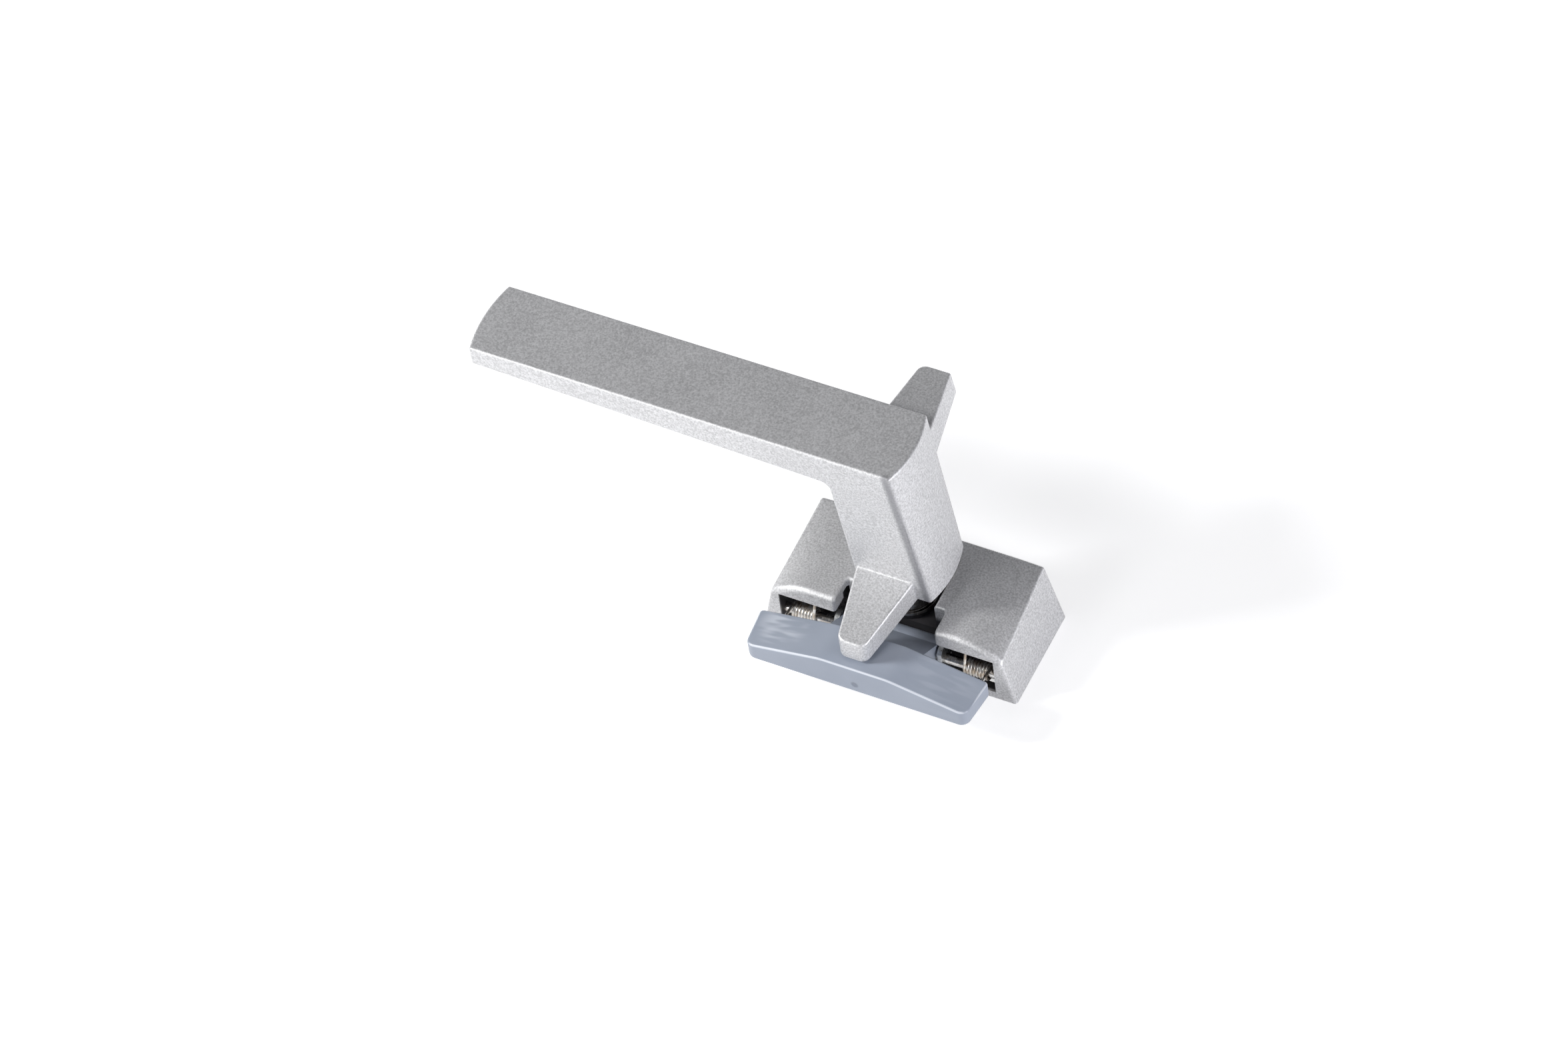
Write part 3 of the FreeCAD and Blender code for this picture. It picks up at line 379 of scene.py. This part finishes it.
def product(finish, pattern, *others):
    """Several patterns and numbers multiplied."""
    for other in others:
        pattern = maths(finish, "MULTIPLY", pattern, other)
    return pattern


# Painted reflection: the silver is darkened along the neck's edge, standing in for the dark
# shade that the edge mirrors.
with_painted_reflection = blend(coat, product(coat, edge, PAINTED_REFLECTION_DARKENING), clouded, PAINTED_REFLECTION_GREY)
print("edge darkened by", PAINTED_REFLECTION_DARKENING, "with", len(coat.tree.nodes), "nodes so far")

# %% [markdown]
# ## Silver coat: painted shade inside the slots and the channel
# Deep inside the slots and the channel of the housing, shade is painted into the colour: the
# silver is darkened there to a dark grey, standing in for the shadow. The faces inside could be
# given a second material, but the border would then follow the mesh and be as sharp as a knife.
# A box with soft walls lets the silver run out into the painted shade over about a millimetre.

# %% Painted shade inside the housing
housing_low, housing_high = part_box("housing")
INSIDE_LOW = (-0.0289, housing_low.y + 0.0010, -0.002)
INSIDE_HIGH = (0.0289, housing_high.y - 0.0015, 0.0120)
SHADE_FADE = (0.0006, 0.0008, 0.0022)
PAINTED_SHADE_GREY = (0.075, 0.072, 0.078)


def within(finish, low, high, soft):
    """1 inside a box, falling to 0 over soft margins outside it."""
    axes = finish.add("ShaderNodeSeparateXYZ")
    finish.join(finish.place, axes.inputs["Vector"])
    sides = []
    for axis, least, most, fade in zip("XYZ", low, high, soft):
        above = spread(finish, axes.outputs[axis], (least - fade, least))
        below = spread(finish, axes.outputs[axis], (most, most + fade), (1.0, 0.0))
        sides.append(product(finish, above, below))
    return product(finish, *sides)


# Painted shade: inside this box the silver turns dark grey, standing in for the deep shadow in
# the slots and the channel.
painted_shade = within(coat, INSIDE_LOW, INSIDE_HIGH, SHADE_FADE)
coat.send("Base Color", blend(coat, painted_shade, with_painted_reflection, PAINTED_SHADE_GREY))
finishes["silver_coat"] = coat.material
print("bare casting from", in_mm(INSIDE_LOW), "to", in_mm(INSIDE_HIGH), "mm")

# %% [markdown]
# ## Grey nylon: the flow of the moulding
# The pad is moulded nylon in a blue grey. It isn't perfectly even: the melt leaves faint clouds
# where it flowed, and its surface has a thin shine over a satin body. One colour with one gloss
# would look like paint. Two close blues, mixed by a slow noise, are the flow, and a thin clear
# coat on the shader is the shine.

# %% Flow of the grey nylon
FLOW_SCALE = 60.0
NYLON_DEEP = (0.325, 0.365, 0.44)
NYLON_PALE = (0.365, 0.405, 0.48)

# The nylon also carries a painted highlight on the pad's rim, added below.
grey_nylon = Finish("grey_nylon_with_painted_highlight")
grey_nylon.set(Metallic=0.0, Specular_IOR_Level=0.5, Coat_Weight=0.25, Coat_Roughness=0.12)
flow = noise(grey_nylon, FLOW_SCALE, detail=4.0)
flowing = blend(grey_nylon, spread(grey_nylon, flow, NOISE_SPAN), NYLON_DEEP, NYLON_PALE)
print("flow clouds of", round(1000 / FLOW_SCALE, 1), "mm")

# %% [markdown]
# ## Grey nylon: pale streaks
# Where something has rubbed along the pad, it has pale streaks: clear ones near its left end,
# fainter ones near its right. They could be drawn as separate scratches, but their ends would
# have to be hidden one by one. A noise that is stretched along the bar makes many at once, and
# a soft ball round each worn place lets them fade away by themselves.

# %% Rubbed places
pad_low, pad_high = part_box("clamp_pad")
PAD_MIDDLE = (pad_low.y + pad_high.y) / 2
LEFT_RUB = (pad_low.x + 0.008, PAD_MIDDLE - 0.004, pad_high.z - 0.003)
LEFT_RUB_RADIUS, LEFT_RUB_FADE = 0.003, 0.005
RIGHT_RUB = (pad_high.x - 0.009, PAD_MIDDLE - 0.003, pad_high.z - 0.003)
RIGHT_RUB_RADIUS, RIGHT_RUB_FADE = 0.004, 0.008


def near(finish, centre, radius, soft):
    """1 inside a ball round a centre, falling to 0 at its soft rim."""
    away_by = finish.add("ShaderNodeVectorMath", operation="DISTANCE")
    finish.join(finish.place, away_by.inputs[0])
    away_by.inputs[1].default_value = centre
    return spread(finish, away_by.outputs["Value"], (radius, radius + soft), (1.0, 0.0))


left_rub = near(grey_nylon, LEFT_RUB, LEFT_RUB_RADIUS, LEFT_RUB_FADE)
right_rub = near(grey_nylon, RIGHT_RUB, RIGHT_RUB_RADIUS, RIGHT_RUB_FADE)
print("rubbed places at", in_mm(LEFT_RUB), "and", in_mm(RIGHT_RUB), "mm")

# %% Streaks in the rubbed places
STREAK_STRETCH = (45.0, 600.0, 600.0)
STREAK_TURN = (0.0, 0.0, 0.02)
STREAK_SPAN = (0.42, 0.66)
STREAK_COLOUR = (0.56, 0.60, 0.67)
RIGHT_RUB_SHARE = 0.25

along_pad = stretched(grey_nylon, STREAK_STRETCH, turn=STREAK_TURN)
long_grain = noise(grey_nylon, 1.0, detail=1.0, vector=along_pad)
streaks = spread(grey_nylon, long_grain, STREAK_SPAN)
rubbed = maths(grey_nylon, "ADD", product(grey_nylon, streaks, left_rub),
               product(grey_nylon, streaks, right_rub, RIGHT_RUB_SHARE))
streaked = blend(grey_nylon, rubbed, flowing, STREAK_COLOUR)
print("streaks", [round(1000 / scale, 1) for scale in STREAK_STRETCH], "mm long, wide and deep")

# %% [markdown]
# ## Grey nylon: painted highlight on the rim
# The rounded edge round the pad's top catches the light, and that highlight is painted pale into
# the colour. It could be drawn by hand along the edge. It can also be found by its slope, with
# nothing to draw: level faces look straight up and side faces look straight out, so only a
# rounded edge faces half up and half out. Up times out is largest there, at 45 degrees. A box
# inside the pad keeps the rounded edges of the crown and the lug out of it.

# %% Painted highlight on the rim
RIM_WIDTH = 0.0010
RIM_FADE = (RIM_WIDTH / 2, RIM_WIDTH / 2, RIM_WIDTH / 2)
RIM_SLOPES = (0.28, 0.48)
PAINTED_HIGHLIGHT_SHARE = 0.75
PAINTED_HIGHLIGHT_COLOUR = (0.78, 0.81, 0.87)
INNER_LOW = (pad_low.x + RIM_WIDTH, pad_low.y + RIM_WIDTH, pad_low.z)
INNER_HIGH = (pad_high.x - RIM_WIDTH, pad_high.y, pad_high.z)


def painted_highlight_slope(finish, low, high):
    """1 where a top rolls over into a side, at a slope of 45 degrees, and outside a box."""
    facing = finish.add("ShaderNodeSeparateXYZ")
    finish.join(finish.add("ShaderNodeTexCoord").outputs["Normal"], facing.inputs["Vector"])
    facing_up = facing.outputs["Z"]
    squared_out = maths(finish, "SUBTRACT", 1.0, product(finish, facing_up, facing_up))
    facing_out = maths(finish, "POWER", squared_out, 0.5)
    slope = spread(finish, product(finish, facing_up, facing_out), RIM_SLOPES)
    outside = maths(finish, "SUBTRACT", 1.0, within(finish, low, high, RIM_FADE))
    return product(finish, slope, outside)


# Painted highlight: the pad's rounded top edge is coloured pale where it faces half up and half
# out, standing in for the light it catches.
rim = product(grey_nylon, painted_highlight_slope(grey_nylon, INNER_LOW, INNER_HIGH), PAINTED_HIGHLIGHT_SHARE)
with_painted_highlight = blend(grey_nylon, rim, streaked, PAINTED_HIGHLIGHT_COLOUR)
print("rim of", RIM_WIDTH * 1000, "mm round the pad's top")

# %% [markdown]
# ## Grey nylon: the mark of the gate, gloss and skin
# A small dark dimple in the middle of the pad's front is where the mould was filled. At half a
# millimetre it needs no faces of its own: one ball darkens the colour and sinks the bump. The
# streaks are also duller than the rest, so their pattern is added to the gloss. Were colour and
# gloss two patterns of their own, the streaks would look printed on.

# %% Gate, gloss and skin
GATE_RADIUS = 0.0006
GATE_CENTRE = (0.0, pad_low.y, pad_low.z + 0.011)
GATE_SHARE = 0.6
GATE_COLOUR = (0.12, 0.14, 0.19)
NYLON_ROUGHNESS = (0.30, 0.38)
RUB_DULLING = 0.12
PAD_SKIN_SCALE = 1500.0
PAD_SKIN_SHARE = 0.2
GATE_DEPTH = 0.00006

gate = near(grey_nylon, GATE_CENTRE, GATE_RADIUS, GATE_RADIUS)
darkened = product(grey_nylon, gate, GATE_SHARE)
grey_nylon.send("Base Color", blend(grey_nylon, darkened, with_painted_highlight, GATE_COLOUR))
smooth = spread(grey_nylon, flow, NOISE_SPAN, NYLON_ROUGHNESS)
dulled = product(grey_nylon, rubbed, RUB_DULLING)
grey_nylon.send("Roughness", maths(grey_nylon, "ADD", smooth, dulled))
pad_skin = product(grey_nylon, noise(grey_nylon, PAD_SKIN_SCALE), PAD_SKIN_SHARE)
relief(grey_nylon, maths(grey_nylon, "SUBTRACT", pad_skin, gate), GATE_DEPTH)
finishes["grey_nylon"] = grey_nylon.material
print("grey nylon:", len(grey_nylon.tree.nodes), "nodes, gate at", in_mm(GATE_CENTRE), "mm")

# %% [markdown]
# ## The finishes go on
# Each piece of the real fastener is finished before it is put together. Materials could be put
# on the objects one by one by name, but the model's record already has a material slot for
# every piece. Read as one table, it dresses them all, and no piece can be forgotten.

# %% Finishes on the pieces
slots = {part["node"]: part["material_slot"] for part in frame["record"]["subparts"]}
for name, node in nodes.items():
    node.data.materials.clear()
    node.data.materials.append(finishes[slots[name]])
for slot in sorted(finishes):
    print(slot, "on", sorted(name for name in nodes if slots[name] == slot))

# %% [markdown]
# ## Torsion springs: where the legs leave the coil
# Two springs of close-wound wire sit on the hinge pin and push the pad up. The CAD springs have
# ten-sided wire to save faces. Seen close, spring wire is round, so both are wound again here,
# to the same sizes. A curve with a round bevel could do it, but every point of its eight turns
# would have to be worked out first. A straight leg has to be tangent to the coil, so the angle
# where it leaves comes from a right triangle: the coil's radius, the leg, and the line from the
# pin to the leg's tip.

# %% Wire and coil
WIRE_RADIUS = 0.00039
COIL_RADIUS = 0.00185
COIL_PITCH = 0.000785
COIL_TURNS = 8
UPPER_TIP = (0.0006, 0.00738)
LOWER_TIP = (-0.0118, 0.00325)

pin_low, pin_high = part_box("hinge_pin")
pin_line = Vector((0.0, (pin_low.y + pin_high.y) / 2, (pin_low.z + pin_high.z) / 2))
coil_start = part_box("torsion_spring_right")[0].x + WIRE_RADIUS


def leaving_angle(tip, side):
    """Angle round the pin, from the back, where the straight leg to a tip leaves the coil."""
    reach = math.hypot(*tip)
    return math.atan2(tip[1], tip[0]) + side * math.acos(COIL_RADIUS / reach)


upper_angle = leaving_angle(UPPER_TIP, 1)
lower_angle = leaving_angle(LOWER_TIP, -1)
winding = COIL_TURNS * math.tau + lower_angle - upper_angle
coil_length = COIL_PITCH * winding / math.tau
print("coil of", round(winding / math.tau, 2), "turns from", round(coil_start * 1000, 2),
      "mm, long", round(coil_length * 1000, 2), "mm")

# %% [markdown]
# ## Torsion springs: the coil
# A real spring is wound on a turning rod while the wire moves along it. Blender's Spin does the
# same when it is given a step as well as an angle: a circle that is spun about the pin leaves a
# coil behind it. The Screw modifier would too, but the legs are drawn out from the coil's two
# ends, and a modifier's ends aren't there to be worked on. Spin hands its last ring back.

# %% A coil
STEPS_PER_TURN = 36
WIRE_SIDES = 16
COIL_STEPS = round(STEPS_PER_TURN * winding / math.tau)


def draw_coil(form):
    """Winds the wire round the pin, and returns the rims where it starts and ends."""
    circle = bmesh.ops.create_circle(form, segments=WIRE_SIDES, radius=WIRE_RADIUS)["verts"]
    outwards = Vector((0.0, math.cos(upper_angle), math.sin(upper_angle)))
    onwards = Vector((0.0, -math.sin(upper_angle), math.cos(upper_angle)))
    stand = Matrix((Vector((1.0, 0.0, 0.0)), outwards, onwards)).transposed().to_4x4()
    place = pin_line + Vector((coil_start, 0.0, 0.0)) + outwards * COIL_RADIUS
    bmesh.ops.transform(form, verts=circle, matrix=Matrix.Translation(place) @ stand)
    first_rim = list(form.edges)
    spun = bmesh.ops.spin(form, geom=circle + first_rim, cent=pin_line, axis=(1.0, 0.0, 0.0),
                          dvec=(coil_length / COIL_STEPS, 0.0, 0.0), angle=winding,
                          steps=COIL_STEPS)
    last_rim = [part for part in spun["geom_last"] if isinstance(part, bmesh.types.BMEdge)]
    return first_rim, last_rim


print("coil in", COIL_STEPS, "steps of", WIRE_SIDES, "faces")

# %% [markdown]
# ## Torsion springs: a leg
# Each end of the wire runs on straight as a leg: one stands against the housing and one lies
# under the pad. A leg could be a cylinder set against the coil, but the join would show and the
# mesh would have a face inside it. Extruding the rim that the coil ends in keeps the wire in
# one piece. The cut end is closed and its edge broken, as a clean cut of wire is.

# %% A leg
END_BREAK = WIRE_RADIUS / 4
END_SEGMENTS = 2


def leg_length(tip):
    """How far a leg's tip lies from where the leg leaves the coil."""
    return math.sqrt(math.hypot(*tip) ** 2 - COIL_RADIUS ** 2)


def draw_leg(form, rim, tip, angle, side):
    """Draws the wire's rim out to a leg's tip and closes it with a softened end."""
    along = side * Vector((0.0, -math.sin(angle), math.cos(angle)))
    drawn = bmesh.ops.extrude_edge_only(form, edges=rim)["geom"]
    points = [part for part in drawn if isinstance(part, bmesh.types.BMVert)]
    bmesh.ops.translate(form, verts=points, vec=along * leg_length(tip))
    edges = [part for part in drawn if isinstance(part, bmesh.types.BMEdge)]
    end = [edge for edge in edges if all(vert in points for vert in edge.verts)]
    bmesh.ops.contextual_create(form, geom=end)
    bmesh.ops.bevel(form, geom=end, affect="EDGES", offset=END_BREAK, segments=END_SEGMENTS,
                    profile=0.5, material=-1)


print("legs of", in_mm((leg_length(UPPER_TIP), leg_length(LOWER_TIP))), "mm")

# %% [markdown]
# ## Torsion springs: left and right
# The two springs are mirror images, with their coils wound opposite ways. The left one could be
# a mirrored copy in the scene, but a finished piece should carry its place in its mesh. So both
# are made the same way, and a side of -1 turns the mesh into the left one. That turns its faces
# inside out as well, and the normals are worked out afresh.

# %% A whole spring
def wound_spring(name, side):
    """A close-wound torsion spring: coil, upright leg and leg under the pad."""
    form = bmesh.new()
    first_rim, last_rim = draw_coil(form)
    draw_leg(form, first_rim, UPPER_TIP, upper_angle, -1)
    draw_leg(form, last_rim, LOWER_TIP, lower_angle, 1)
    bmesh.ops.scale(form, verts=form.verts, vec=(side, 1.0, 1.0))
    bmesh.ops.recalc_face_normals(form, faces=form.faces)
    for face in form.faces:
        face.smooth = True
    mesh = bpy.data.meshes.new(name)
    form.to_mesh(mesh)
    form.free()
    mesh.materials.append(finishes["spring_wire"])
    print(name, "wound with", len(mesh.vertices), "points")
    piece = bpy.data.objects.new(name, mesh)
    scene.collection.objects.link(piece)
    return piece


# %% [markdown]
# ## Torsion springs: both of them
# A torsion spring winds up when the pad is pressed: its upright leg stays with the base, its
# other leg goes with the pad, and the turns between share the twist. Here the left and the right
# spring are wound, the CAD springs are hidden, and each new spring's placing is baked into its
# mesh.

# %% Both springs
for hand, side in (("left", -1.0), ("right", 1.0)):
    spring = wound_spring(f"wound_spring_{hand}", side)
    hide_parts(f"torsion_spring_{hand}")
    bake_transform(spring)
    print(spring.name, len(spring.data.polygons), "faces")

# %% [markdown]
# ## Sky
# The photograph was lit softly, and its upright faces mirror something bright while its level
# faces mirror something darker. A flat white world would make them all alike, and a picture of a
# studio would tie the looks to one room. The sky is a plain ramp instead, white at the horizon
# and grey overhead.

# %% Sky
HORIZON = (0.95, 0.955, 0.97, 1.0)
HORIZON_UP_TO = 0.05
ZENITH = (0.15, 0.152, 0.16, 1.0)
ZENITH_FROM = 0.60
SKY_STRENGTH = 0.65

world = bpy.data.worlds.new("studio")
scene.world = world
world.use_nodes = True
sky = world.node_tree
sky.nodes.clear()
sky_place = sky.nodes.new("ShaderNodeTexCoord")
sky_height = sky.nodes.new("ShaderNodeSeparateXYZ")
sky_ramp = sky.nodes.new("ShaderNodeValToRGB")
sky_light = sky.nodes.new("ShaderNodeBackground")
sky_output = sky.nodes.new("ShaderNodeOutputWorld")
for stop, place, colour in zip(sky_ramp.color_ramp.elements,
                               (HORIZON_UP_TO, ZENITH_FROM), (HORIZON, ZENITH)):
    stop.position = place
    stop.color = colour
sky_light.inputs["Strength"].default_value = SKY_STRENGTH
sky.links.new(sky_place.outputs["Generated"], sky_height.inputs["Vector"])
sky.links.new(sky_height.outputs["Z"], sky_ramp.inputs["Fac"])
sky.links.new(sky_ramp.outputs["Color"], sky_light.inputs["Color"])
sky.links.new(sky_light.outputs["Background"], sky_output.inputs["Surface"])
print("sky of", len(sky.nodes), "nodes at strength", SKY_STRENGTH)

# %% [markdown]
# ## Lamps
# Three soft lamps do the rest. A bare sun would draw hard shadows that the photograph doesn't
# have. A small key lamp on the left puts the right shoulder in the neck's shadow, a weak one in
# front on the left draws the bright lines along the rounded edges, and a large cool one, low on
# the right, fills the end faces. Each is an area lamp, whose size sets how soft its shadow is.

# %% Lamps
WHITE = (1.0, 1.0, 1.0)
COOL = (0.95, 0.95, 1.0)
LAMPS = {
    "key_left": {"place": (-0.71, -0.37, 0.59), "size": 0.18, "power": 6.5, "tint": WHITE},
    "edge_front_left": {"place": (-0.335, -0.76, 0.495), "size": 0.30, "power": 1.9,
                        "tint": WHITE},
    "fill_right": {"place": (0.90, -0.20, 0.21), "size": 0.6, "power": 6.9, "tint": COOL},
}


def lamp(name, place, size, power, tint):
    """A square soft lamp that faces the fastener."""
    light = bpy.data.lights.new(name, "AREA")
    light.size = size
    light.energy = power
    light.color = tint
    holder = bpy.data.objects.new(name, light)
    holder.location = place
    facing = (TARGET - Vector(place)).to_track_quat("-Z", "Y")
    holder.rotation_euler = facing.to_euler()
    scene.collection.objects.link(holder)
    print(name, "of", power, "W,", round((TARGET - Vector(place)).length, 2), "m away")


for name, setting in LAMPS.items():
    lamp(name, **setting)

# %% [markdown]
# ## Floor
# A plain pale floor carries the fastener's shadow. A curved backdrop would do as well, but the
# photograph looks down so steeply that nothing but floor is seen, so a grid of one face is
# enough. It lies a hair below the base plate, because two faces in one plane flicker.

# %% Floor
FLOOR_SIZE = 6.0
FLOOR_DROP = 0.00005

floor_mesh = bpy.data.meshes.new("floor")
floor_form = bmesh.new()
bmesh.ops.create_grid(floor_form, x_segments=1, y_segments=1, size=FLOOR_SIZE / 2)
bmesh.ops.translate(floor_form, verts=floor_form.verts, vec=(0.0, 0.0, -FLOOR_DROP))
floor_form.to_mesh(floor_mesh)
floor_form.free()
floor = bpy.data.objects.new("floor", floor_mesh)
scene.collection.objects.link(floor)
print("floor", FLOOR_SIZE, "m wide and", FLOOR_DROP * 1000, "mm below the fastener")

# %% [markdown]
# ## Finish of the floor
# The background of the photograph is white. More light would make the floor white, but would
# burn out the silver first. So the floor is a pale grey that glows a little, and only to the
# camera and in reflections: it throws no glow on the fastener, and its shadow stays. The glow in
# reflections is weaker near the fastener, because the low parts of its sides mirror something
# darker in the photograph.

# %% Finish of the floor
FLOOR_CLOUD_SCALE = 3.0
FLOOR_DARK = (0.66, 0.66, 0.67)
FLOOR_LIGHT = (0.68, 0.68, 0.69)
SEEN_GLOW = 0.64
NEAR_TO_FAR = (0.02, 0.10)
MIRRORED_GLOW = (0.28, 0.70)

pale = Finish("pale_floor")
pale.set(Roughness=0.9, Specular_IOR_Level=0.1, Emission_Color=(1.0, 1.0, 1.0, 1.0))
pale.send("Base Color", blend(pale, noise(pale, FLOOR_CLOUD_SCALE), FLOOR_DARK, FLOOR_LIGHT))
rays = pale.add("ShaderNodeLightPath").outputs
mirrored = maths(pale, "MAXIMUM", rays["Is Glossy Ray"], rays["Is Transmission Ray"])
distance = pale.add("ShaderNodeVectorMath", operation="LENGTH")
pale.join(pale.place, distance.inputs[0])
glow = spread(pale, distance.outputs["Value"], NEAR_TO_FAR, MIRRORED_GLOW)
pale.send("Emission Strength",
          maths(pale, "ADD", product(pale, rays["Is Camera Ray"], SEEN_GLOW),
                product(pale, mirrored, glow)))
floor_mesh.materials.append(pale.material)
print("floor glows", SEEN_GLOW, "to the camera and", MIRRORED_GLOW, "in reflections")

# %% [markdown]
# ## Colours as they are
# A real fastener doesn't grow when it is painted. Colours are shown as they are, without a film
# look on top.

# %% Colours as they are
scene.view_settings.view_transform = "Standard"
